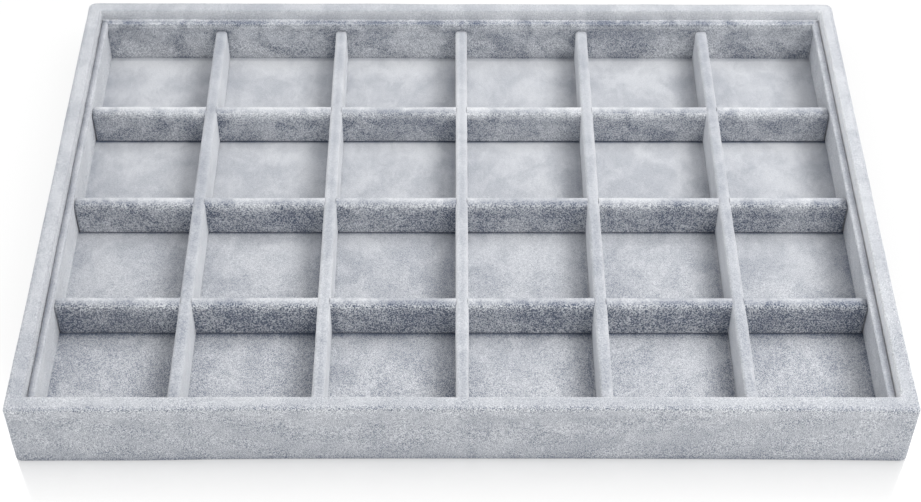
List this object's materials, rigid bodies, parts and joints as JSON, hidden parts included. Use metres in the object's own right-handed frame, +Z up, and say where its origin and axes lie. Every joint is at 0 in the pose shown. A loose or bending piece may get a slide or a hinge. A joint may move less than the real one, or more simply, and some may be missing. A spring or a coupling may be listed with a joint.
{
  "type": "jewelry tray",
  "caption": "Flat rectangular velvet-covered display tray with a raised rim and a lift-out grid of square compartments.",
  "frame": {"origin": "centre of the underside, on the surface that the tray stands on", "axes": "+X along the long side, +Y from the front rail to the back rail, +Z up out of the compartments"},
  "size_m": [0.35, 0.24, 0.032],
  "materials": {
    "grey_velvet": "soft short-pile grey velvet, cloudy where the pile is brushed",
    "fibreboard": "bare medium-density fibreboard, sawn edges",
    "greyboard": "uncoated grey paperboard",
    "backing_cloth": "matte non-woven backing cloth",
    "lining_paper": "matte lining paper"
  },
  "bodies": {
    "tray": {"front_rail": "fibreboard", "back_rail": "fibreboard", "left_rail": "fibreboard", "right_rail": "fibreboard", "base_board": "greyboard", "frame_velvet": "grey_velvet", "underside_sheet": "backing_cloth", "floor_lining": "lining_paper"},
    "insert": {"insert_floor_card": "greyboard", "floor_velvet": "grey_velvet", "liner_card_front": "greyboard", "liner_card_back": "greyboard", "liner_card_left": "greyboard", "liner_card_right": "greyboard", "liner_velvet_front": "grey_velvet", "liner_velvet_back": "grey_velvet", "liner_velvet_left": "grey_velvet", "liner_velvet_right": "grey_velvet", "long_divider_1": "fibreboard", "long_divider_2": "fibreboard", "long_divider_3": "fibreboard", "long_divider_4": "fibreboard", "long_divider_5": "fibreboard", "long_divider_velvet_1": "grey_velvet", "long_divider_velvet_2": "grey_velvet", "long_divider_velvet_3": "grey_velvet", "long_divider_velvet_4": "grey_velvet", "long_divider_velvet_5": "grey_velvet", "cross_divider_1": "fibreboard", "cross_divider_2": "fibreboard", "cross_divider_3": "fibreboard", "cross_divider_velvet_1": "grey_velvet", "cross_divider_velvet_2": "grey_velvet", "cross_divider_velvet_3": "grey_velvet"}
  },
  "joints": [
    {"name": "insert_lift", "type": "slide", "parent": "tray", "child": "insert", "axis": [0, 0, 1], "range_m": [0, 0.035]}
  ]
}
